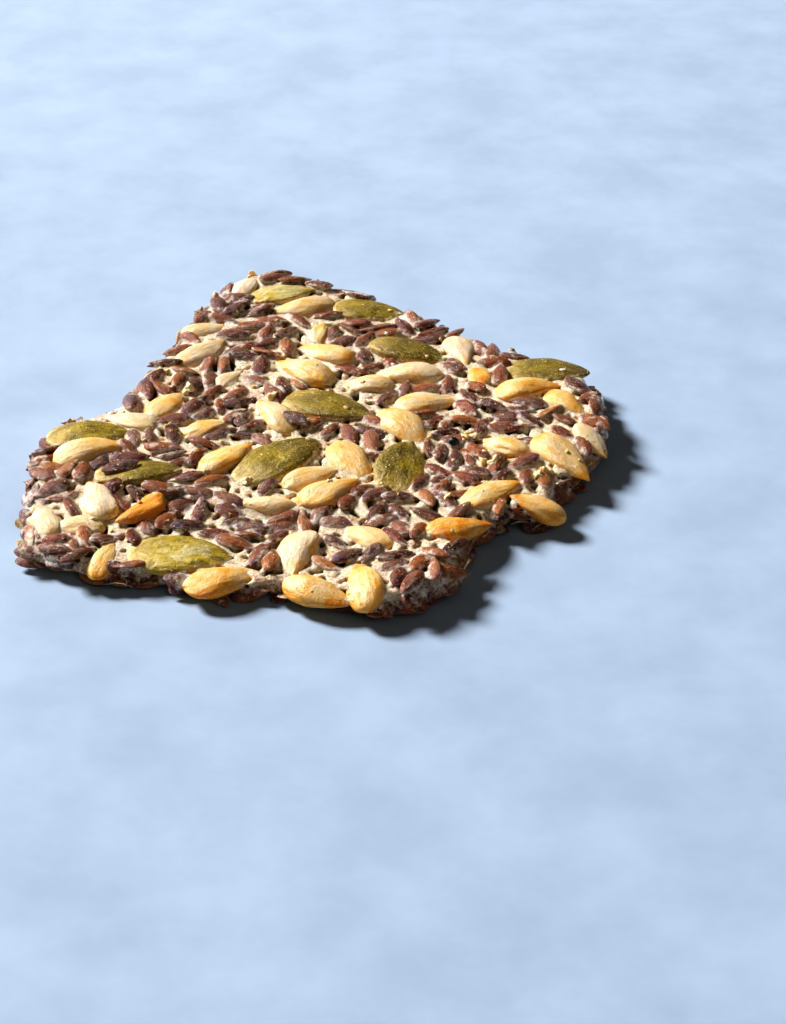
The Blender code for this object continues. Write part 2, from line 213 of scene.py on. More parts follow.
# The binder turns amber low down, and takes some colour from the seeds just below and beside it
AMBER_BELOW = 3.1
AMBER_SPAN = 1.2
AMBER_SHARE = 0.85
TINT_REACH = 1.2
TINT_SHARE = 0.50
TINT_FADE = 0.22

# The lumps of each kind of seed: how high against its width, how many around it and how many along it
LUMPS = {
    "pepita": ((0.03, 2, 1), (0.02, 3, 2), (0.012, 5, 3)),
    "kernel": ((0.06, 2, 0.5), (0.05, 3, 1), (0.03, 4, 2), (0.018, 7, 1), (0.014, 11, 0.7)),
    "flax": ((0.035, 2, 1), (0.03, 3, 1.5)),
}
FLAKE_LUMPS = ((0.12, 2, 0), (0.10, 3, 0), (0.08, 5, 0), (0.05, 8, 0))

# The photograph's camera: its distance, its angle above the table, its lens, and where it has the cracker
CAMERA_DISTANCE = 352.0
CAMERA_ELEVATION = 33.0
PICTURE = (786, 1024)
FOCAL_PIXELS = 2420.0
CENTRE_PIXEL = (325, 414)
CENTRE_HEIGHT = 4.6
SENSOR = 36.0


def spline_through(points, step):
    """A closed smooth curve through the points, sampled about every step."""
    count = len(points)
    samples = []
    for i in range(count):
        a, b, c, d = (np.array(points[(i + k) % count], float) for k in (-1, 0, 1, 2))
        pieces = max(1, round(np.linalg.norm(c - b) / step))
        for t in np.arange(pieces) / pieces:
            square, cube = 2 * a - 5 * b + 4 * c - d, 3 * b - a - 3 * c + d
            samples.append(0.5 * (2 * b + (c - a) * t + square * t**2 + cube * t**3))
    return np.array(samples)


def outward_normals(loop):
    along = np.roll(loop, -1, axis=0) - np.roll(loop, 1, axis=0)
    normals = np.stack([along[:, 1], -along[:, 0]], axis=1)
    return normals / np.linalg.norm(normals, axis=1)[:, None]


def fitted_to_box(loop):
    low, high = loop.min(axis=0), loop.max(axis=0)
    return (loop - (low + high) / 2) * np.array([WIDTH, DEPTH]) / (high - low)


def ragged_outline(draw):
    loop = spline_through(OUTLINE, EDGE_STEP)
    jags = np.array([draw.uniform(-1, 1) for _ in loop]) * RAGGEDNESS
    return fitted_to_box(loop + outward_normals(loop) * jags[:, None])


class Slab:
    """The outline, with the questions that the placing rule asks of it."""

    def __init__(self, loop):
        self.loop = loop
        self.ends = np.roll(loop, -1, axis=0)

    def inside(self, x, y):
        x1, y1, x2, y2 = *self.loop.T, *self.ends.T
        straddles = (y1 > y) != (y2 > y)
        across = np.where(straddles, x1 + (y - y1) * (x2 - x1) / np.where(straddles, y2 - y1, 1), -math.inf)
        return np.count_nonzero(across > x) % 2 == 1

    def edge_near(self, x, y):
        """(how far inside the nearest edge the point is, the unit vector from it out across that edge)"""
        point, sides = np.array([x, y]), self.ends - self.loop
        share = np.clip(((point - self.loop) * sides).sum(axis=1) / (sides**2).sum(axis=1), 0, 1)
        nearest = self.loop + sides * share[:, None]
        away = np.linalg.norm(nearest - point, axis=1)
        best = int(away.argmin())
        out = np.array([sides[best][1], -sides[best][0]]) / np.linalg.norm(sides[best])
        return (away[best] if self.inside(x, y) else -away[best]), out


def taper(kind, t):
    """How wide the seed is at t, from -1 at its blunt end to 1 at its tip, against an ellipse."""
    return ((1 - t) ** KINDS[kind].point) * (1 - 0.13 * KINDS[kind].point)


def seed_size(seed):
    kind = KINDS[seed.kind]
    scale = seed.length / kind.length
    return seed.length, kind.width * scale, kind.thickness * scale


def turned(x, y, degrees, middle=(0.0, 0.0)):
    """The point, turned by the degrees and then moved as far as the middle lies from the origin."""
    cosine, sine = math.cos(math.radians(degrees)), math.sin(math.radians(degrees))
    return middle[0] + x * cosine - y * sine, middle[1] + x * sine + y * cosine


def footprint(seed):
    """(centres, radius) of three discs that cover about what the seed covers."""
    length, width, _ = seed_size(seed)
    reach = (length - width) / 2
    offsets = np.array([-reach, 0.0, reach * 1.1])
    return np.stack(turned(offsets, 0.0, seed.heading, (seed.x, seed.y)), axis=1), width / 2


def height_over(seed, x, y):
    """Height of the seed's top above the point, or -inf beside it."""
    length, width, thickness = seed_size(seed)
    along, across = turned(x - seed.x, y - seed.y, -seed.heading)
    t = 2 * along / length
    if abs(t) >= 1:
        return -math.inf
    share = 2 * across / (width * math.sqrt(1 - t * t) * taper(seed.kind, t))
    if abs(share) >= 1:
        return -math.inf
    return seed.z + thickness / 2 * math.sqrt((1 - t * t) * (1 - share * share))


class Layout:
    """Seeds placed so far on one face of the slab, and the rule that finds room for more."""

    def __init__(self, slab, draw):
        self.slab, self.draw, self.seeds = slab, draw, []
        self.discs = np.zeros((0, 4))

    def add(self, seed):
        self.seeds.append(seed)
        centres, radius = footprint(seed)
        room = ROOM[seed.kind]
        rows = [(x, y, radius, room) for x, y in centres]
        self.discs = np.vstack([self.discs, rows])

    def has_room(self, seed):
        if not len(self.discs):
            return True
        centres, radius = footprint(seed)
        for centre in centres:
            apart = np.linalg.norm(self.discs[:, :2] - centre, axis=1)
            needed = (self.discs[:, 2] + radius) * np.minimum(self.discs[:, 3], ROOM[seed.kind])
            if (apart < needed).any():
                return False
        return True

    def random_seed(self, kind, level, margin):
        x = self.draw.uniform(-WIDTH / 2, WIDTH / 2)
        y = self.draw.uniform(-DEPTH / 2, DEPTH / 2)
        heading = self.draw.uniform(0, 360)
        lean = 9.0 if kind == "flax" else 5.0
        seed = Seed(
            kind, x, y, level + self.draw.uniform(-0.2, 0.2), heading,
            self.draw.uniform(-lean, lean), self.draw.uniform(-2 * lean, 2 * lean),
            KINDS[kind].length * self.draw.uniform(0.84, 1.08),
        )
        return seed if self.slab.edge_near(x, y)[0] > margin else None

    def scatter(self, kind, count, level):
        margin = KINDS[kind].width * 0.45
        placed = 0
        for _ in range(count * TRIES):
            seed = self.random_seed(kind, level, margin)
            if seed and self.has_room(seed):
                self.add(seed)
                placed += 1
                if placed == count:
                    return

    def ride_over(self, count):
        """Flax seeds that lie on the flanks of the larger seeds."""
        hosts = [s for s in self.seeds if s.kind != "flax"]
        for _ in range(count):
            host = self.draw.choice(hosts)
            length, width, _ = seed_size(host)
            turn = self.draw.uniform(0, math.tau)
            along, across = 0.32 * length * math.cos(turn), 0.34 * width * math.sin(turn)
            x, y = turned(along, across, host.heading, (host.x, host.y))
            tops = [height_over(s, x, y) for s in self.seeds]
            rider = Seed(
                "flax", x, y, max(tops) + 0.25, self.draw.uniform(0, 360), self.draw.uniform(-8, 8),
                self.draw.uniform(-20, 20), KINDS["flax"].length * self.draw.uniform(0.9, 1.05),
            )
            self.seeds.append(rider)


def layout_on_top(slab, draw):
    top = Layout(slab, draw)
    for kind, rows in (("pepita", PEPITAS), ("kernel", KERNELS)):
        for x, y, heading, length in rows:
            level = TOP_LEVEL[kind] + draw.uniform(-0.12, 0.12)
            top.add(Seed(kind, x, y, level, heading, draw.uniform(-4, 4), draw.uniform(-9, 9), length))
    for kind, count in TOP_COUNTS:
        top.scatter(kind, count, TOP_LEVEL[kind])
    top.ride_over(RIDERS)
    return top


def lay_flax(top):
    """Adds the flax of LAID_FLAX, each on what lies below it."""
    for x, y, heading in LAID_FLAX:
        below = max(CORE_TOP, *(height_over(s, x, y) for s in top.seeds))
        height = min(below + LAID_LIFT, LAID_LEVEL)
        top.add(Seed("flax", x, y, height, heading, 0.0, LAID_ROLL, KINDS["flax"].length * LAID_LENGTH))


def layout_under(slab, draw):
    under = Layout(slab, draw)
    under.add(Seed("pepita", 0, -1, UNDER_LEVEL["pepita"], 20, 0, 0, KINDS["pepita"].length))
    for kind, count in UNDER_COUNTS:
        under.scatter(kind, count, UNDER_LEVEL[kind])
    return under


def leaning(seeds, tilt, roll):
    """The seeds, with that much of their tilt and roll."""
    return [s._replace(tilt=s.tilt * tilt, roll=s.roll * roll) for s in seeds]


def seeds_in_rim(slab, draw, spacing, rows):
    """Flax standing out of the broken side, in uneven rows, at every angle."""
    loop = spline_through(slab.loop, EDGE_STEP)
    normals = outward_normals(loop)
    steps = np.linalg.norm(np.roll(loop, -1, axis=0) - loop, axis=1)
    seeds = []
    for row, level in enumerate(rows):
        walked = row * spacing / 2
        for point, normal, step in zip(loop, normals, steps):
            walked += step
            if walked < spacing:
                continue
            walked -= spacing * draw.uniform(0.8, 1.25)
            x, y = point - normal * draw.uniform(0.3, 1.1)
            height = level + draw.uniform(-0.45, 0.45)
            heading = math.degrees(math.atan2(normal[1], normal[0])) + 90 + draw.uniform(-50, 50)
            tilt, roll = draw.uniform(-28, 28), draw.uniform(15, 80)
            length = KINDS["flax"].length * draw.uniform(0.82, 1.05)
            seeds.append(Seed("flax", x, y, height, heading, tilt, roll, length))
    return seeds


def droop_of(seed, slab):
    """(how far a large seed on top hangs over the broken edge, from 0 to 1, the way out across it)"""
    inside, out = slab.edge_near(seed.x, seed.y)
    if seed.kind == "flax" or seed.z < CORE_TOP / 2:
        return 0.0, out
    return max(0.0, min(1.0, 1 - inside / DROOP_WITHIN)), out


def let_down(seeds, slab):
    """The seeds, with the flax that lies on a drooping seed lowered as much as that seed is there."""
    hosts = [s for s in seeds if s.kind != "flax"]
    lowered = []
    for seed in seeds:
        falls = [0.0]
        for host in hosts if seed.kind == "flax" else ():
            if -math.inf < height_over(host, seed.x, seed.y) < seed.z:
                hang, out = droop_of(host, slab)
                outward = (seed.x - host.x) * out[0] + (seed.y - host.y) * out[1]
                falls.append(DROOP_FALL * hang + math.sin(math.radians(DROOP_DEGREES * hang)) * outward)
        lowered.append(seed._replace(z=seed.z - max(falls)))
    return lowered


def seed_matrix(seed, slab):
    """The seed's place in millimetres, with the droop of those that hang over the broken edge."""
    hang, out = droop_of(seed, slab)
    lowered = Matrix.Translation(Vector((seed.x, seed.y, seed.z - DROOP_FALL * hang)))
    droop = Matrix.Rotation(math.radians(DROOP_DEGREES * hang), 4, Vector((-out[1], out[0], 0)))
    turn = Matrix.Rotation(math.radians(seed.heading), 4, "Z")
    tilt = Matrix.Rotation(math.radians(seed.tilt), 4, "Y")
    roll = Matrix.Rotation(math.radians(seed.roll), 4, "X")
    return np.array(lowered @ droop @ turn @ (tilt @ roll))


def clear_of_hosts(seeds, slab):
    """All the seeds but the flax that lies inside a larger seed."""
    hosts = []
    for seed in seeds:
        if seed.kind != "flax":
            hosts.append((np.linalg.inv(seed_matrix(seed, slab)), np.array(seed_size(seed)) / 2))
    kept = []
    for seed in seeds:
        middle = seed_matrix(seed, slab)[:, 3]
        depths = [np.linalg.norm((into @ middle)[:3] / half) for into, half in hosts]
        laid = (seed.x, seed.y, seed.heading) in LAID_FLAX
        if seed.kind != "flax" or laid or min(depths) > CLEAR_OF_HOST:
            kept.append(seed)
    return kept


def smooth_step(t):
    t = np.clip(t, 0, 1)
    return t * t * (3 - 2 * t)


def bent(x, y, z):
    """Height of a point of the flat slab once the shelf has sagged and the corners have curled."""
    (x1, y1), (x2, y2) = SHELF_LINE
    line_y = y1 + (y2 - y1) * (x - x1) / (x2 - x1)
    below = smooth_step((line_y - y) / SHELF_SOFTNESS + 0.5)
    fade = smooth_step((SHELF_END - x) / SHELF_END)
    sag = SHELF_DROP * below * fade * np.clip(z / CORE_TOP, 0, 1)
    curl = 0.0
    for corner_x, corner_y, rise in CURL_RISE:
        near = 1 - np.hypot(x - corner_x, y - corner_y) / CURL_REACH
        curl = curl + rise * smooth_step(near)
    return z - sag + curl


def finished_place(points, box):
    """Points of the flat slab in millimetres, bent, centred, in metres and inside the solid's box."""
    points = points.copy()
    points[:, 2] = bent(*points.T)
    points[:, :2] -= MIDDLE
    return np.clip(points * MM, *box)


def mesh_from(name, points, faces):
    """A mesh of triangles and quads in an array of corners, where -1 is a triangle's missing one."""
    mesh = bpy.data.meshes.new(name)
    sizes = np.where(faces[:, 3] < 0, 3, 4)
    corners = faces[faces >= 0]
    mesh.vertices.add(len(points))
    mesh.vertices.foreach_set("co", np.ascontiguousarray(points, np.float32).ravel())
    mesh.loops.add(len(corners))
    mesh.loops.foreach_set("vertex_index", corners.astype(np.int32))
    mesh.polygons.add(len(faces))
    mesh.polygons.foreach_set("loop_start", (np.cumsum(sizes) - sizes).astype(np.int32))
    mesh.update(calc_edges=True)
    mesh.shade_smooth()
    return mesh


def ball(rings, sides):
    """A sphere's points, as t along it, r from its axis and phi around it, and its faces."""
    polar = np.linspace(0, math.pi, rings + 1)[1:-1]
    around = np.arange(sides) * math.tau / sides
    t = np.pad(np.repeat(np.cos(polar), sides), 1, constant_values=(1, -1))
    r = np.pad(np.repeat(np.sin(polar), sides), 1)
    phi = np.pad(np.tile(around, rings - 1), 1)
    here = np.arange(sides)
    after = (here + 1) % sides
    none = np.full(sides, -1)
    last = 1 + (rings - 2) * sides
    end = np.full(sides, last + sides)
    faces = [np.stack([np.zeros(sides, int), 1 + here, 1 + after, none], axis=1)]
    for ring in range(rings - 2):
        a, b = 1 + ring * sides, 1 + (ring + 1) * sides
        faces.append(np.stack([a + here, b + here, b + after, a + after], axis=1))
    faces.append(np.stack([last + after, last + here, end, none], axis=1))
    return t, r, phi, np.concatenate(faces)


def waves(t, phi, draw, parts):
    """Smooth lumps on a seed: for each of (amplitude, waves around, waves along), at a random phase."""
    total = np.zeros_like(t)
    for amplitude, around, along in parts:
        a, b = draw.uniform(0, math.tau), draw.uniform(0, math.tau)
        total += amplitude * np.cos(around * phi + a) * np.cos(along * math.pi * t + b)
    return total


def blunt(kind, t, draw):
    """As taper, but with a small round tip, and a point that is drawn out more or less."""
    point = KINDS[kind].point
    return (1 - 0.95 * t) ** (point * draw.uniform(0.75, 1.15)) * (1 - 0.13 * point)


def signed_power(values, power):
    return np.sign(values) * np.abs(values) ** power


def flax_form(t, r, phi, size, draw):
    """A glossy lens with a fairly sharp rim and a slightly hooked tip."""
    length, width, thickness = size[0] * 1.15, size[1] * 0.98, size[2] * 0.98
    swell = (1 + waves(t, phi, draw, LUMPS["flax"])) * r**1.12 * blunt("flax", t, draw)
    along = t * length / 2
    hook = draw.uniform(-0.10, 0.10) * width * np.clip(t, 0, 1) ** 3
    across = swell * np.cos(phi) * width / 2 + hook
    up = swell * signed_power(np.sin(phi), 1.25) * thickness / 2
    return np.stack([along, across, up], axis=1)


def kernel_form(t, r, phi, size, draw):
    """A teardrop with flattened flanks, ridges along it and a lean to one side."""
    length, width, thickness = size[0], size[1] * draw.uniform(0.94, 1.12), size[2] * 1.06
    lumps = waves(t, phi, draw, LUMPS["kernel"])
    for _ in range(3):
        lumps -= draw.uniform(0.01, 0.09) * np.exp(22 * (np.cos(phi - draw.uniform(0, math.tau)) - 1))
    swell = (1 + lumps) * r * blunt("kernel", t, draw)
    bow = draw.uniform(-0.055, 0.055) * length * (t * t - 0.4)
    arch = draw.uniform(-0.03, 0.05) * length * (0.4 - t * t)
    along = t * length / 2 * (1 + 0.02 * np.cos(phi * 3 + draw.uniform(0, 6)))
    across = swell * signed_power(np.cos(phi), 0.9) * width / 2 + bow
    up = swell * signed_power(np.sin(phi), 0.9) * thickness / 2 + arch * r
    return np.stack([along, across, up], axis=1)


def pepita_form(t, r, phi, size, draw):
    """A flat pointed oval with a raised margin around two gently puffed faces."""
    length, width, thickness = size
    swell = (1 + waves(t, phi, draw, LUMPS["pepita"])) * r * blunt("pepita", t, draw)
    rim = np.abs(np.cos(phi)) ** 6 * r
    along = t * length / 2
    across = swell * signed_power(np.cos(phi), 0.8) * width / 2 + draw.uniform(-0.2, 0.2) * t * t
    dent = 1 - 0.10 * np.exp(-((np.cos(phi) / 0.35) ** 2)) * (1 + 0.8 * np.cos(5 * t + draw.uniform(0, 6)))
    up = swell * signed_power(np.sin(phi), 0.8) * thickness / 2 * dent * (1 + 0.25 * rim)
    return np.stack([along, across, up], axis=1)


FORMS = {"flax": flax_form, "kernel": kernel_form, "pepita": pepita_form}


def seeds_mesh(kind, looks, slab, coarse=1, shrink=0.0):
    """All these (seed, shade) as one: (points in flat millimetres, faces, places on the seed, tones)."""
    draw = random.Random(FILL_SEED)
    t, r, phi, ball_faces = ball(KINDS[kind].rings // coarse, KINDS[kind].sides // coarse)
    parts, local, tone = [], [], []
    for seed, shade in looks:
        size = [max(0.2, s - 2 * shrink) for s in seed_size(seed)]
        form = FORMS[kind](t, r, phi, size, draw)
        place = seed_matrix(seed, slab)
        placed = form @ place[:3, :3].T + place[:3, 3]
        # What the tray pressed flat keeps a little unevenness
        placed[:, 2] = np.where(placed[:, 2] < 0.02, 0.02 + 0.012 * np.sin(9 * form[:, 0]), placed[:, 2])
        parts.append((placed, ball_faces))
        local.append(form + np.array([draw.uniform(0, 500), draw.uniform(0, 500), 0]))
        rim = np.hypot(t, r * np.cos(phi))
        shades, chances = np.full_like(t, shade), np.full_like(t, draw.random())
        tone.append(np.stack([shades, (t + 1) / 2, rim, chances], axis=1))
    return *joined(parts), np.concatenate(local), np.concatenate(tone)


def core_points(slab, draw):
    """The slab of binder as rings of points, bottom to top."""
    normals = outward_normals(slab.loop)
    rings = []
    for inset, height in SIDE_SECTIONS:
        insets = np.array([inset + draw.uniform(-0.35, 0.35) for _ in normals])
        ring = slab.loop - normals * insets[:, None]
        rings.append(np.column_stack([ring, np.full(len(ring), height)]))
    return rings


def arrays_of(bm):
    """(points, faces) of a bmesh that is all triangles, which is then freed."""
    bm.verts.index_update()
    points = np.array([v.co for v in bm.verts])
    faces = np.array([[v.index for v in f.verts] + [-1] for f in bm.faces])
    bm.free()
    return points, faces


def core_mesh(rings):
    """(points, faces) of the slab of binder, with its top sunk a little."""
    bm = bmesh.new()
    loops = []
    for ring in rings:
        ring[:, 2] -= SINK * smooth_step(ring[:, 2] / CORE_TOP)
        loops.append([bm.verts.new(Vector(p)) for p in ring])
    for lower, upper in zip(loops, loops[1:]):
        for i in range(len(lower)):
            j = (i + 1) % len(lower)
            bm.faces.new((lower[i], lower[j], upper[j], upper[i]))
    bm.faces.new(list(reversed(loops[0])))
    bm.faces.new(loops[-1])
    bmesh.ops.triangulate(bm, faces=bm.faces)
    return arrays_of(bm)


def joined(parts):
    """(points, faces) of several (points, faces)."""
    points, faces, count = [], [], 0
    for part_points, part_faces in parts:
        points.append(part_points)
        faces.append(np.where(part_faces < 0, -1, part_faces + count))
        count += len(part_points)
    return np.concatenate(points), np.concatenate(faces)


def linked(name, data):
    obj = bpy.data.objects.new(name, data)
    bpy.context.scene.collection.objects.link(obj)
    return obj


def taken_apart(obj):
    """(points, normals, faces) of the object as its modifiers leave it, which is then removed."""
    bpy.context.view_layer.update()
    made = obj.evaluated_get(bpy.context.evaluated_depsgraph_get()).to_mesh()
    points, normals = np.empty((2, len(made.vertices) * 3), np.float32)
    made.vertices.foreach_get("co", points)
    made.vertices.foreach_get("normal", normals)
    corners, starts = np.empty(len(made.loops), np.int32), np.empty(len(made.polygons), np.int32)
    made.loops.foreach_get("vertex_index", corners)
    made.polygons.foreach_get("loop_start", starts)
    sizes = np.diff(np.append(starts, len(corners)))
    faces = np.full((len(starts), 4), -1)
    for k in range(4):
        faces[sizes > k, k] = corners[starts[sizes > k] + k]
    bpy.data.objects.remove(obj)
    return points.reshape(-1, 3).astype(float), normals.reshape(-1, 3).astype(float), faces


def binder_skin(parts):
    """A skin drawn over everything at VOXEL and relaxed: (points, normals, faces) in flat millimetres."""
    obj = linked("skin", mesh_from("skin", *joined(parts)))
    remesh = obj.modifiers.new("voxels", "REMESH")
    remesh.mode = "VOXEL"
    remesh.voxel_size = VOXEL
    relax = obj.modifiers.new("relax", "SMOOTH")
    relax.factor = 0.5
    relax.iterations = RELAX_STEPS
    return taken_apart(obj)


def thinned(points, faces, hidden):
    """The skin with SKIN_TRIANGLES left, which go where no seed hides it: (points, normals, faces)."""
    obj = linked("skin", mesh_from("skin", points, faces))
    spare = obj.vertex_groups.new(name="spare")
    spare.add(np.flatnonzero(hidden).tolist(), 1.0, "REPLACE")
    spare.add(np.flatnonzero(~hidden).tolist(), 0.3, "REPLACE")
    fewer = obj.modifiers.new("fewer", "DECIMATE")
    fewer.ratio = SKIN_TRIANGLES / (np.count_nonzero(faces >= 0) - 2 * len(faces))
    fewer.vertex_group = spare.name
    return taken_apart(obj)


def pits_at(points):
    """How deep each point is in a pit where the binder baked away, from 0 to 1. The underside has few."""
    found = np.array([noise.noise(Vector((x * PIT_NOISE, y * PIT_NOISE, PIT_SLICE))) for x, y, _ in points])
    pressed_flat = smooth_step((UNDER_BELOW - points[:, 2]) / UNDER_SPAN)
    begin = PIT_FROM + (UNDER_PIT_FROM - PIT_FROM) * pressed_flat
    return smooth_step((found - begin) / PIT_SLOPE)


def rough_skin(points, normals):
    """The skin with its grain and its pits."""
    grain = np.array([noise.noise(Vector(p) * 1.15) + 0.5 * noise.noise(Vector(p) * 3.4) for p in points])
    return points + normals * (GRAIN * grain - PIT_DEPTH * pits_at(points))[:, None]


def hollows_at(tree, points, normals):
    """How deep in a hollow each point lies: the share of the ways out of it that are blocked."""
    draw = random.Random(FILL_SEED)
    ways = [Vector([draw.gauss(0, 1) for _ in range(3)]).normalized() for _ in range(HOLLOW_WAYS)]
    found = np.empty(len(points))
    for i, (p, n) in enumerate(zip(points, normals)):
        out = Vector(n)
        start = Vector(p) + out * HOLLOW_START
        hits = [tree.ray_cast(start, out * HOLLOW_OUTWARD + way, HOLLOW_REACH)[0] for way in ways]
        found[i] = sum(hit is not None for hit in hits)
    return found / HOLLOW_WAYS


def distances(tree, points, reach):
    """Distance of each point from a surface, negative inside it, and reach where it is further away."""
    found = np.full(len(points), reach)
    for i, p in enumerate(points):
        place, normal, _, away = tree.find_nearest(p, reach)
        if place is not None:
            found[i] = away if (Vector(p) - place).dot(normal) >= 0 else -away
    return found


def tree_of(points, faces):
    corners = [tuple(int(i) for i in f if i >= 0) for f in faces]
    return BVHTree.FromPolygons([tuple(p) for p in points], corners)


def give(mesh, name, values):
    """Stores one number, vector or colour a point, as the values have 1, 3 or 4 columns."""
    kinds = {1: ("FLOAT", "value"), 3: ("FLOAT_VECTOR", "vector"), 4: ("FLOAT_COLOR", "color")}
    kind, field = kinds[values[0].size]
    attribute = mesh.attributes.new(name, kind, "POINT")
    attribute.data.foreach_set(field, np.ascontiguousarray(values, np.float32).ravel())


def add_piece(name, points, faces, material, slot, **values):
    """Adds a piece that stands for the solid, with these values stored on its points."""
    mesh = mesh_from(name, points, faces)
    for value_name, numbers in values.items():
        give(mesh, value_name, numbers)
    mesh.materials.append(material)
    obj = linked(name, mesh)
    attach(obj, "root")
    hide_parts(NODE)


class Shader:
    """The nodes of a material or the world, by short calls. A value is a socket, a number or a colour."""

    def __init__(self, owner):
        owner.use_nodes = True
        self.owner, self.nodes = owner, owner.node_tree.nodes

    def plug(self, socket, value):
        if isinstance(value, bpy.types.NodeSocket):
            self.owner.node_tree.links.new(value, socket)
        elif isinstance(value, tuple) and len(value) == 3 and socket.type == "RGBA":
            socket.default_value = (*value, 1)
        else:
            socket.default_value = value

    def finish(self, **values):
        for name, value in values.items():
            self.plug(self.nodes["Principled BSDF"].inputs[name.replace("_", " ")], value)
        return self.owner

    def node(self, kind, inputs=(), output=0, **settings):
        """An output of a new node with these settings, and values at its inputs, by name or number."""
        node = self.nodes.new("ShaderNode" + kind)
        for name, value in settings.items():
            setattr(node, name, value)
        for name, value in dict(inputs).items():
            self.plug(node.inputs[name], value)
        return node.outputs[output]

    def attribute(self, name, output="Vector"):
        return self.node("Attribute", (), output, attribute_name=name)

    def split(self, colour):
        return self.node("SeparateColor", {0: colour}).node.outputs

    def stretched(self, vector, scale):
        return self.node("Mapping", {"Vector": vector, "Scale": scale})

    def place(self):
        """The point in the row frame, in millimetres."""
        return self.stretched(self.node("TexCoord", (), "Object"), (1 / MM, 1 / MM, 1 / MM))

    def noise(self, vector, scale, detail=3.0, roughness=0.55, distortion=0.0):
        values = {"Scale": scale, "Detail": detail, "Roughness": roughness, "Distortion": distortion}
        return self.node("TexNoise", {"Vector": vector, **values})

    def plus(self, a, b):
        """The sum, held between 0 and 1."""
        return self.node("Math", {0: a, 1: b}, operation="ADD", use_clamp=True)

    def times(self, a, b):
        return self.node("Math", {0: a, 1: b}, operation="MULTIPLY", use_clamp=True)

    def spread(self, value, low, high, to_low=0.0, to_high=1.0):
        """The value, taken from low..high to to_low..to_high and held there."""
        return self.node("MapRange", {0: value, 1: low, 2: high, 3: to_low, 4: to_high})

    def ramp(self, value, *stops):
        colour = self.node("ValToRGB", {0: value})
        elements = colour.node.color_ramp.elements
        while len(elements) < len(stops):
            elements.new(0.5)
        for element, (position, shade) in zip(elements, stops):
            element.position = position
            element.color = (*shade, 1)
        return colour

    def mix(self, share, a, b):
        return self.node("Mix", {0: share, 6: a, 7: b}, 2, data_type="RGBA")

    def stain(self, colour, stain, value, low, high, most):
        """The colour, with up to that share of the stain as the value goes from low to high."""
        return self.mix(self.spread(value, low, high, 0.0, most), colour, stain)

    def starched(self, colour, starch, *dust):
        """(the colour under starch, its thickness): a film near the binder, and dust by a noise like that"""
        dusty = self.spread(self.noise(self.place(), *dust), 0.30, 0.70, 0.0, 0.5)
        film = self.spread(self.attribute("film", "Fac"), 0.0, 1.0, 0.0, 0.9)
        coated = self.spread(self.plus(dusty, film), 0.60, 1.0)
        return self.mix(self.times(coated, 0.8), colour, starch), coated

    def relief(self, *layers, over=None):
        """The surface's normal with these (height, depth in millimetres) on it, one over the other."""
        for height, depth in layers:
            inputs = {"Strength": 1.0, "Distance": depth * MM, "Height": height}
            over = self.node("Bump", inputs if over is None else {**inputs, "Normal": over})
        return over


def new_material(name):
    return Shader(bpy.data.materials.new(name))


def seed_material(name):
    """(nodes, shade, place along the seed, nearness to its rim, point on the seed, point in the frame)"""
    s = new_material(name)
    return s, *s.split(s.attribute("tone", "Color"))[:3], s.attribute("local"), s.place()


BINDER_PALE = (0.84, 0.72, 0.46)
BINDER_DEEP = (0.52, 0.33, 0.12)
BINDER_AMBER = (0.46, 0.26, 0.09)
# Near black painted shade for the binder's pits and hollows
PAINTED_SHADE_COLOUR = (0.035, 0.012, 0.004)
FLAKE_COLOUR = (0.58, 0.38, 0.17)
SEED_TINTS = {"pepita": (0.40, 0.31, 0.06), "kernel": (0.76, 0.50, 0.19), "flax": (0.22, 0.085, 0.022)}


def flax_material():
    """Wine red to warm brown and glossy, with a painted purple-blue reflection towards the ends, and starch
    dried onto it in places.
    """
    s, shade, along, rim, local, place = seed_material("flax_skin")
    streaks = s.noise(s.stretched(local, (0.5, 1.6, 1.6)), 2.2, 4.0, 0.6)
    colour = s.ramp(
        shade,
        (0.0, (0.042, 0.004, 0.009)),
        (0.3, (0.115, 0.013, 0.007)),
        (0.6, (0.215, 0.040, 0.006)),
        (0.85, (0.330, 0.094, 0.010)),
        (1.0, (0.460, 0.190, 0.045)),
    )
    colour = s.stain(colour, (0.48, 0.19, 0.040), streaks, 0.44, 0.68, 0.5)
    colour = s.stain(colour, (0.028, 0.006, 0.004), streaks, 0.48, 0.34, 0.8)
    # Painted reflection: a purple-blue sheen towards both ends
    ends = s.plus(s.spread(along, 0.30, 0.0), s.spread(along, 0.75, 1.0))
    painted_violet_reflection = s.times(ends, s.spread(s.noise(local, 0.5, 1.0), 0.40, 0.64, 0.0, 0.75))
    colour = s.mix(painted_violet_reflection, colour, (0.09, 0.05, 0.17))
    # A lighter rim line: partly the seed's own seam, partly a painted highlight where the thin edge catches
    # light
    colour = s.stain(colour, (0.52, 0.22, 0.07), rim, 0.88, 1.0, 0.45)
    dulled = s.spread(s.attribute("tone", "Alpha"), 0.65, 0.95, 0.0, 0.4)
    dulled = s.times(dulled, s.spread(s.noise(local, 0.9, 3.0), 0.30, 0.70, 0.4, 1.0))
    colour = s.mix(dulled, colour, (0.42, 0.19, 0.075))
    colour, coated = s.starched(colour, (0.86, 0.79, 0.69), 1.6, 4.0, 0.6)
    # Pale specks: partly starch, partly painted glints
    colour = s.stain(colour, (0.88, 0.76, 0.54), s.noise(place, 5.5, 2.0, 0.5), 0.65, 0.70, 0.7)
    relief = s.relief((streaks, 0.14), (s.noise(local, 3.5, 4.0, 0.65), 0.10))
    glint = s.relief((s.noise(place, 5.0, 3.0, 0.6), 0.22), over=relief)
    return s.finish(
        Base_Color=colour, Roughness=s.spread(coated, 0.0, 0.7, 0.32, 0.5), Normal=relief,
        Specular_IOR_Level=0.12, Coat_Weight=0.9, Coat_Roughness=0.07, Coat_Normal=glint,
    )


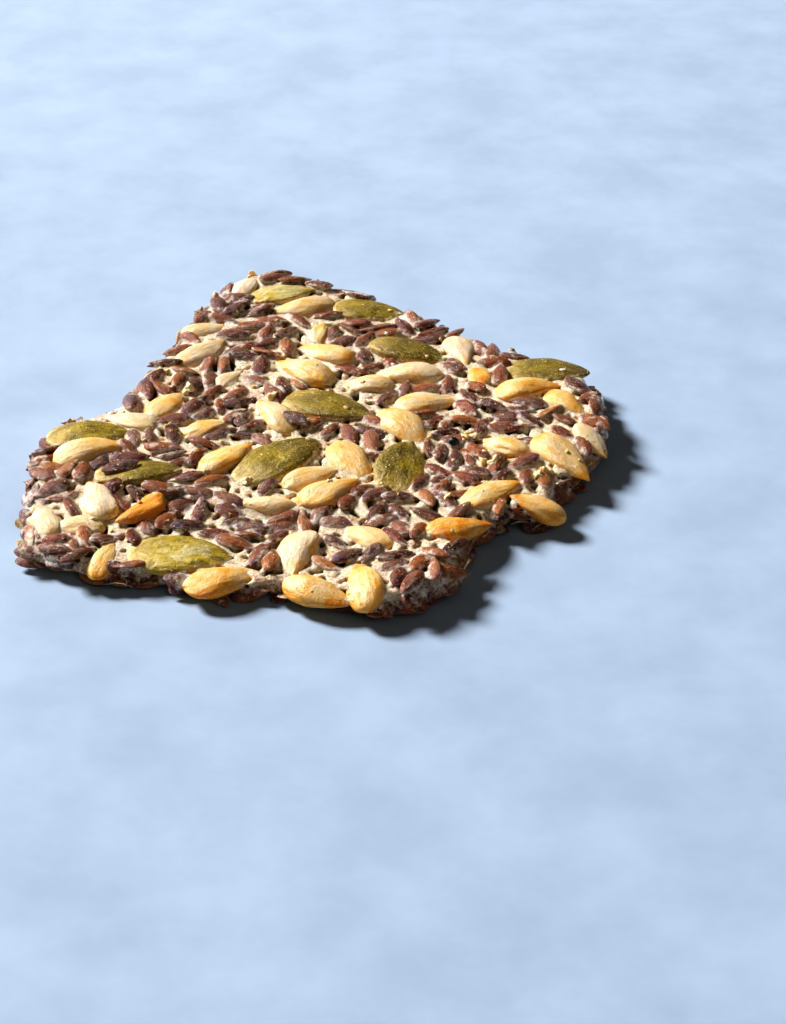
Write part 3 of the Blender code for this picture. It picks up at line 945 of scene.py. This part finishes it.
def kernel_material():
    """Cream to toasted orange, browner at the tips and rims, browner on the lower flank as painted shade,
    with fine ridges along the kernel.
    """
    s, shade, along, rim, local, place = seed_material("kernel_flesh")
    grain = s.noise(s.stretched(local, (0.25, 1.0, 1.0)), 1.6, 3.0, 0.55)
    fine = s.noise(place, 4.2, 3.0, 0.7)
    toast = s.plus(shade, s.spread(s.noise(local, 0.42, 3.0, 0.5), 0.3, 0.75, -0.18, 0.42))
    toast = s.plus(toast, s.spread(along, 0.70, 1.0, 0.0, 0.32))
    toast = s.plus(toast, s.spread(rim, 0.66, 1.0, 0.0, 0.18))
    # Painted shade: the lower flank is toasted browner
    toast = s.plus(toast, s.spread(s.split(local)[2], 0.3, -0.9, 0.0, 0.24))
    colour = s.ramp(
        toast,
        (0.0, (0.87, 0.77, 0.60)),
        (0.3, (0.88, 0.71, 0.45)),
        (0.6, (0.90, 0.62, 0.24)),
        (0.85, (0.89, 0.46, 0.055)),
        (1.0, (0.86, 0.34, 0.010)),
    )
    colour = s.stain(colour, (0.72, 0.38, 0.08), grain, 0.50, 0.75, 0.4)
    speckled = s.spread(s.noise(local, 0.6, 2.0), 0.48, 0.62, 0.10, 0.70)
    colour = s.mix(s.times(speckled, s.spread(fine, 0.52, 0.66)), colour, (0.62, 0.30, 0.08))
    colour = s.stain(colour, (0.98, 0.90, 0.68), fine, 0.46, 0.34, 0.4)
    colour = s.starched(colour, (0.82, 0.71, 0.50), 2.0, 5.0, 0.65)[0]
    relief = s.relief((grain, 0.16), (s.noise(local, 1.3, 4.0, 0.6), 0.14), (fine, 0.08))
    glint = s.relief((s.noise(place, 8.0, 2.0), 0.06), over=relief)
    return s.finish(
        Base_Color=colour, Roughness=0.38, Normal=relief, Subsurface_Weight=0.35,
        Subsurface_Radius=(1.0, 0.5, 0.2), Subsurface_Scale=1.2 * MM, Specular_IOR_Level=0.35,
        Coat_Weight=0.3, Coat_Roughness=0.12, Coat_Normal=glint,
    )


def pepita_material():
    """Olive in the middle, under tan dust towards its creased ends, with a golden margin."""
    s, wear, along, rim, local, place = seed_material("pumpkin_seed_skin")
    speckle = s.noise(local, 1.7, 4.0, 0.6)
    fibres = s.noise(s.stretched(local, (0.18, 1.0, 1.0)), 1.9, 4.0, 0.6)
    fine = s.noise(place, 4.2, 3.0, 0.7)
    blotches = s.spread(s.noise(local, 0.30, 4.0, 0.55), 0.34, 0.66, -0.16, 0.34)
    colour = s.ramp(
        s.plus(blotches, s.times(wear, 0.8)),
        (0.0, (0.090, 0.074, 0.010)),
        (0.3, (0.180, 0.138, 0.008)),
        (0.55, (0.340, 0.255, 0.008)),
        (0.8, (0.600, 0.450, 0.030)),
        (1.0, (0.760, 0.690, 0.340)),
    )
    dusting = s.times(s.spread(rim, 0.50, 1.0, 0.04, 1.0), s.spread(speckle, 0.36, 0.70, 0.0, 0.6))
    colour = s.mix(dusting, colour, (0.46, 0.33, 0.06))
    colour = s.stain(colour, (0.13, 0.11, 0.06), s.noise(local, 0.7, 4.0, 0.6), 0.54, 0.68, 0.6)
    colour = s.stain(colour, (0.10, 0.08, 0.02), fibres, 0.50, 0.70, 0.45)
    colour = s.stain(colour, (0.66, 0.49, 0.08), fine, 0.50, 0.61, 0.6)
    colour = s.stain(colour, (0.060, 0.045, 0.014), fine, 0.44, 0.34, 0.6)
    blunt_end = s.times(s.spread(along, 0.36, 0.06), s.spread(speckle, 0.34, 0.60, 0.2, 0.8))
    colour = s.mix(blunt_end, colour, (0.66, 0.49, 0.17))
    colour = s.stain(colour, (0.62, 0.43, 0.10), rim, 0.90, 1.0, 0.45)
    veins = s.noise(s.stretched(local, (0.25, 1.1, 1.1)), 1.0, 4.0, 0.6)
    creases = s.times(s.spread(along, 0.50, 0.95), s.spread(veins, 0.42, 0.58))
    colour = s.mix(s.times(creases, 0.75), colour, (0.08, 0.055, 0.018))
    colour = s.stain(colour, (0.88, 0.74, 0.44), s.noise(place, 4.5, 2.0, 0.5), 0.65, 0.71, 0.8)
    colour = s.starched(colour, (0.78, 0.66, 0.42), 1.8, 5.0, 0.65)[0]
    wrinkles = s.noise(s.stretched(local, (0.7, 1.0, 1.0)), 0.5, 3.0, 0.5, 0.6)
    relief = s.relief((wrinkles, 0.50), (fibres, 0.14), (fine, 0.10))
    glint = s.relief((s.noise(place, 8.0, 2.0), 0.06), over=relief)
    return s.finish(
        Base_Color=colour, Roughness=0.40, Normal=relief, Specular_IOR_Level=0.3,
        Coat_Weight=0.35, Coat_Roughness=0.18, Coat_Normal=glint,
    )


def binder_material():
    """Baked starch: pale, glistening and a little translucent, tinted by what lies just below it, with
    painted shade in its pits and hollows.
    """
    s = new_material("baked_binder")
    tint, pit, place = s.attribute("tint", "Color"), s.attribute("tint", "Alpha"), s.place()
    fine = s.noise(place, 3.0, 6.0, 0.7)
    colour = s.stain(tint, BINDER_DEEP, s.noise(place, 0.5, 4.0, 0.6), 0.44, 0.64, 0.85)
    # Pale frost: partly dried starch, partly painted glints, and kept out of the painted shade
    frost_and_painted_glints = s.times(s.spread(fine, 0.47, 0.58, 0.0, 0.8), s.spread(pit, 0.7, 0.1))
    colour = s.mix(frost_and_painted_glints, colour, (0.93, 0.88, 0.84))
    colour = s.stain(colour, (0.20, 0.09, 0.03), fine, 0.45, 0.33, 0.85)
    # Painted shade: near black in the pits and hollows
    colour = s.stain(colour, PAINTED_SHADE_COLOUR, pit, 0.25, 0.9, 0.95)
    relief = s.relief((fine, 0.16))
    glint = s.relief((s.noise(place, 5.0, 3.0, 0.6), 0.28), over=relief)
    return s.finish(
        Base_Color=colour, Roughness=s.spread(fine, 0.3, 0.7, 0.22, 0.5), Normal=relief,
        Subsurface_Weight=0.55, Subsurface_Radius=(1.0, 0.5, 0.2), Subsurface_Scale=0.9 * MM,
        Specular_IOR_Level=0.45, Coat_Weight=0.8, Coat_Roughness=0.06, Coat_Normal=glint,
    )


def crumb_material():
    """Dry starch to toasted bits of kernel."""
    s = new_material("crumbs")
    colour = s.ramp(
        s.attribute("toast", "Fac"),
        (0.0, (0.94, 0.90, 0.78)),
        (0.35, (0.92, 0.78, 0.44)),
        (0.75, (0.82, 0.55, 0.18)),
        (1.0, (0.42, 0.20, 0.07)),
    )
    fine = s.noise(s.place(), 5.0, 3.0)
    return s.finish(
        Base_Color=s.stain(colour, (0.55, 0.33, 0.12), fine, 0.45, 0.75, 0.5), Roughness=0.45,
        Normal=s.relief((fine, 0.08)), Subsurface_Weight=0.2, Subsurface_Radius=(1.0, 0.5, 0.25),
        Subsurface_Scale=0.6 * MM,
    )


def dark_seed_material():
    s = new_material("tiny_dark_seed")
    mottle = s.noise(s.place(), 3.0, 2.0)
    own = s.ramp(mottle, (0.35, (0.008, 0.014, 0.024)), (0.7, (0.03, 0.05, 0.075)))
    return s.finish(Base_Color=own, Roughness=0.3, Normal=s.relief((mottle, 0.03)))


def crumb_form(width, fineness, draw):
    """A lumpy crumb around the origin, lying on its flat side."""
    bm = bmesh.new()
    bmesh.ops.create_icosphere(bm, subdivisions=fineness, radius=width / 2)
    offset = Vector((draw.uniform(0, 99), draw.uniform(0, 99), draw.uniform(0, 99)))
    squash = Vector((draw.uniform(0.7, 1.2), draw.uniform(0.6, 1.0), draw.uniform(0.45, 0.8)))
    for v in bm.verts:
        v.co = v.co * (1 + 1.1 * noise.noise(v.co * 2.8 / width + offset)) * squash
    return arrays_of(bm)


def landing(tree, draw):
    """(place, normal) where something that falls on the cracker at a random slant comes to lie."""
    place = None
    while place is None:
        x, y = draw.uniform(-WIDTH / 2, WIDTH / 2), draw.uniform(-DEPTH / 2, DEPTH / 2)
        aim = Vector((x, y, draw.uniform(0.5, CORE_TOP)))
        turn, slant = draw.uniform(0, math.tau), math.radians(draw.uniform(12, 90))
        away = Vector((math.cos(turn) * math.cos(slant), math.sin(turn) * math.cos(slant), math.sin(slant)))
        place, normal, _, _ = tree.ray_cast(aim + away * 2 * WIDTH, -away)
    return place, normal


def crumbs_data(tree, draw):
    """The broken bits of kernel, crumbs, and grains of starch: (points, faces, how toasted each point is)"""
    found = []
    for x, y, width in BITS:
        place, normal, _, _ = tree.ray_cast(Vector((x, y, WIDTH)), Vector((0, 0, -1)))
        found.append((place, normal, width, 3, draw.uniform(0.2, 0.5)))
    for count, least, more, power, fineness, most, toast_power in LITTER:
        for _ in range(count):
            spot, width = landing(tree, draw), least + more * draw.random() ** power
            found.append((*spot, width, fineness, draw.random() ** toast_power * most))
    parts, toast = [], []
    for place, normal, width, fineness, shade in found:
        points, faces = crumb_form(width, fineness, draw)
        spin = Matrix.Rotation(draw.uniform(0, math.tau), 3, "Z")
        turn = np.array(normal.to_track_quat("Z", "Y").to_matrix() @ spin)
        parts.append((points @ turn.T + np.array(place - normal * 0.05 * width), faces))
        toast.append(np.full(len(points), shade))
    return *joined(parts), np.concatenate(toast)


def flakes_data(slab, draw):
    """Thin shards of binder standing out of the broken edge."""
    loop = spline_through(slab.loop, EDGE_STEP)
    normals = outward_normals(loop)
    t, r, phi, faces = ball(10, 20)
    parts = []
    for _ in range(FLAKES):
        i = draw.randrange(len(loop))
        wide, long = draw.uniform(0.8, 1.6), draw.uniform(1.1, 2.1)
        jag = 1 + waves(t * 0, phi, draw, FLAKE_LUMPS)
        flat = np.stack([t * 0.11, r * jag * np.cos(phi) * long, r * jag * np.sin(phi) * wide], axis=1)
        flat[:, 0] += 0.10 * (flat[:, 1] ** 2 - flat[:, 2] ** 2) + 0.06 * flat[:, 1] * draw.uniform(-1, 1)
        heading = math.atan2(normals[i][1], normals[i][0])
        stand = Matrix.Rotation(heading, 3, "Z") @ Matrix.Rotation(draw.uniform(0.7, 1.9), 3, "Y")
        middle = loop[i] - normals[i] * draw.uniform(-0.3, 0.9)
        lift = draw.uniform(0.9, 2.3)
        parts.append((flat @ np.array(stand).T + np.array([*middle, lift]), faces))
    points, faces = joined(parts)
    points[:, 2] = np.maximum(points[:, 2], 0.1)
    return points, faces


def dark_seed_data():
    x, y, width = DARK_SEED
    t, r, phi, faces = ball(16, 20)
    points = np.stack([t, r * np.cos(phi), r * np.sin(phi) * DARK_SEED_SQUASH], axis=1) * width / 2
    return points + np.array([x, y, CORE_TOP + DARK_SEED_RISE]), faces


SEED_PIECES = {
    "pepita": ("pumpkin_seeds", pepita_material, "pumpkin"),
    "kernel": ("sunflower_seeds", kernel_material, "sunflower"),
    "flax": ("flax_seeds", flax_material, "flax"),
}


def all_seeds(slab, draw, fill):
    """The seeds that the solid has, and the flax that fills the gaps between them."""
    top, under = layout_on_top(slab, draw), layout_under(slab, draw)
    rim = seeds_in_rim(slab, draw, RIM_FLAX_STEP, RIM_ROWS)
    top.seeds = [s._replace(z=s.z + PROUD.get((s.x, s.y), 0.0)) for s in top.seeds]
    lay_flax(top)
    for layout, fills in ((top, TOP_FILLS), (under, UNDER_FILLS)):
        layout.draw = fill
        for level, room, count in fills:
            ROOM["flax"] = room
            before = len(layout.seeds)
            layout.scatter("flax", count, level)
            layout.seeds[before:] = leaning(layout.seeds[before:], *FILL_LEAN)
    rim_fill = leaning(seeds_in_rim(slab, fill, RIM_FILL_STEP, RIM_FILL_ROWS), *RIM_FILL_LEAN)
    return let_down(top.seeds + leaning(under.seeds, *PRESSED_LEAN) + rim + rim_fill, slab)


def with_shades(seeds, fill):
    """For each kind, (seed, how dark, toasted or worn it is) of its seeds."""
    given = {"pepita": iter(PEPITA_WEAR), "kernel": iter(KERNEL_TOAST), "flax": iter(())}
    looks = {kind: [] for kind in KINDS}
    for seed in seeds:
        shade = next(given[seed.kind], None)
        if shade is None:
            is_flax = seed.kind == "flax"
            shade = fill.random() ** FLAX_DARKNESS if is_flax else fill.uniform(*HIDDEN_SHADES)
        looks[seed.kind].append((seed, shade))
    return looks


def skin_over(rings, looks, slab, seed_surface):
    """The binder's rough skin: (points, normals, faces) in flat millimetres."""
    parts = [core_mesh(rings)]
    for kind, rows in looks.items():
        parts.append(seeds_mesh(kind, rows, slab, 2, CLING[kind])[:2])
    points, normals, faces = binder_skin(parts)
    points = rough_skin(points, normals)
    hidden = distances(tree_of(*seed_surface), points, 1.0) < -SEED_COVER
    return thinned(points, faces, hidden)


def painted_shade_of(skin, normals, outside):
    """How much painted shade each point of the skin gets in its pits and hollows, from 0 to 1."""
    hollows = smooth_step((hollows_at(outside, skin, normals) - HOLLOW_FROM) / HOLLOW_SPAN)
    return np.clip(pits_at(skin) + HOLLOW_PAINTED_SHADE * hollows, 0, 1)


def skin_colour(away, low_down):
    """Pale, tinted by each kind of seed as far as it is away, and amber low down."""
    colour = np.tile(np.array(BINDER_PALE), (len(low_down), 1))
    for kind, distance in away.items():
        share = (TINT_SHARE * np.exp(-np.abs(distance) / TINT_FADE))[:, None]
        colour = colour * (1 - share) + np.array(SEED_TINTS[kind]) * share
    return colour + (np.array(BINDER_AMBER) - colour) * (AMBER_SHARE * low_down)[:, None]


def film_kept(points):
    """How much of its film of starch each point keeps: less in pits and low down at the side."""
    low_down = smooth_step((WORN_BELOW - points[:, 2]) / WORN_SPAN)
    return 1 - FILM_LOSS * np.maximum(pits_at(points), low_down * WORN_SHARE)


def film_at(points, bare):
    """How thick the film is at each point of a seed, by how far it is from the bare binder."""
    contact = KDTree(len(bare))
    for i, point in enumerate(bare):
        contact.insert(point, i)
    contact.balance()
    climb = np.array([contact.find(p)[2] for p in points]) / MM
    return np.clip(1 - climb / FILM_REACH, 0, 1)


def build_cracker(box):
    draw, fill = random.Random(RANDOM_SEED), random.Random(FILL_SEED)
    slab = Slab(ragged_outline(draw))
    rings = core_points(slab, draw)
    looks = with_shades(clear_of_hosts(all_seeds(slab, draw, fill), slab), fill)
    shapes = {kind: seeds_mesh(kind, rows, slab) for kind, rows in looks.items()}
    seed_surface = joined([shape[:2] for shape in shapes.values()])
    skin, normals, skin_faces = skin_over(rings, looks, slab, seed_surface)
    outside = tree_of(*joined([seed_surface, (skin, skin_faces)]))
    low_down = smooth_step((AMBER_BELOW - skin[:, 2]) / AMBER_SPAN)
    # Painted shade for the binder's pits and hollows, from 0 to 1
    painted_shade_share = painted_shade_of(skin, normals, outside)

    skin = finished_place(skin, box)
    places = {kind: finished_place(shape[0], box) for kind, shape in shapes.items()}
    away = {}
    for kind, points in places.items():
        away[kind] = distances(tree_of(points, shapes[kind][1]), skin, TINT_REACH * MM) / MM
    bare = skin[np.min(list(away.values()), axis=0) > BARE_ABOVE]
    for kind, (flat_points, faces, local, tone) in shapes.items():
        name, material, slot = SEED_PIECES[kind]
        film = film_at(places[kind], bare) * film_kept(flat_points)
        add_piece(name, places[kind], faces, material(), slot, local=local, tone=tone, film=film)
    baked = binder_material()
    # The alpha of the tint is the painted shade of the pits and hollows
    tint = np.column_stack([skin_colour(away, low_down), painted_shade_share])
    add_piece("binder", skin, skin_faces, baked, "binder", tint=tint)

    points, faces, toast = crumbs_data(outside, fill)
    add_piece("crumbs", finished_place(points, box), faces, crumb_material(), "sunflower", toast=toast)
    points, faces = flakes_data(slab, fill)
    tint = np.tile(np.array([*FLAKE_COLOUR, 0.0]), (len(points), 1))
    add_piece("binder_flakes", finished_place(points, box), faces, baked, "binder", tint=tint)
    points, faces = dark_seed_data()
    add_piece("tiny_dark_seed", finished_place(points, box), faces, dark_seed_material(), "flax")


def floor():
    """A plain pale blue-grey surface, faintly mottled."""
    bpy.ops.mesh.primitive_plane_add(size=6.0)
    plane = bpy.context.object
    plane.name = "floor"
    s = new_material("pale_floor")
    mottle = s.noise(s.node("TexCoord", (), "Object"), 60.0, 4.0, 0.6)
    own = s.ramp(mottle, (0.35, (0.375, 0.49, 0.63)), (0.65, (0.435, 0.56, 0.715)))
    plane.data.materials.append(s.finish(Base_Color=own, Roughness=0.85))


def area_light(name, direction, distance, size, power, colour):
    data = bpy.data.lights.new(name, "AREA")
    data.shape = "DISK"
    data.size = size
    data.energy = power
    data.color = colour
    lamp = linked(name, data)
    way = Vector(direction).normalized()
    lamp.location = way * distance
    lamp.rotation_euler = way.to_track_quat("Z", "Y").to_euler()


def lighting():
    """One soft window at the back left, a weak fill, and a backdrop that is bright at the horizon only."""
    scene = bpy.context.scene
    scene.world = bpy.data.worlds.new("studio")
    s = Shader(scene.world)
    height = s.node("SeparateXYZ", {0: s.node("TexCoord", (), "Generated")}, "Z")
    backdrop = s.ramp(height, (0.02, (0.48, 0.40, 0.32)), (0.20, (0.044, 0.038, 0.034)))
    s.plug(s.nodes["Background"].inputs["Color"], backdrop)
    area_light("window", (-0.68, 0.52, 0.60), 2.6, 0.7, 107.0, (1.0, 0.955, 0.95))
    area_light("fill", (0.5, -0.9, 0.9), 2.6, 2.0, 4.4, (1.0, 0.90, 0.78))
    scene.view_settings.view_transform = "Standard"
    scene.view_settings.look = "High Contrast"


def camera():
    """The photograph's view: the cracker's middle falls on its own pixel, above left of the centre."""
    elevation = math.radians(CAMERA_ELEVATION)
    ahead = Vector((0, math.cos(elevation), -math.sin(elevation)))
    upward = Vector((0, math.sin(elevation), math.cos(elevation)))
    across, down = CENTRE_PIXEL[0] - PICTURE[0] / 2, CENTRE_PIXEL[1] - PICTURE[1] / 2
    ray = (ahead * FOCAL_PIXELS + Vector((1, 0, 0)) * across - upward * down).normalized()
    middle = Vector((-MIDDLE[0], -MIDDLE[1], CENTRE_HEIGHT))
    data = bpy.data.cameras.new("camera")
    data.sensor_width = SENSOR
    data.lens = FOCAL_PIXELS / max(PICTURE) * SENSOR
    eye = linked("camera", data)
    eye.location = (middle - ray * CAMERA_DISTANCE) * MM
    eye.rotation_mode = "QUATERNION"
    eye.rotation_quaternion = (-ahead).to_track_quat("Z", "Y")
    data.clip_start, data.clip_end = 0.01, 20
    bpy.context.scene.camera = eye


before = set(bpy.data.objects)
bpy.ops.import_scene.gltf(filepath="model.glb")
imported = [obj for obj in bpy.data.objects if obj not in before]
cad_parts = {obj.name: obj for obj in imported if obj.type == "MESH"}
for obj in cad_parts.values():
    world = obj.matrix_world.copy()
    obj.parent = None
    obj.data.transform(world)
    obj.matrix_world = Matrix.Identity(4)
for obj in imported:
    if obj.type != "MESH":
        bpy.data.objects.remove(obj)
cad_low, cad_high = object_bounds()
camera()
lighting()
floor()
build_cracker((cad_low, cad_high))
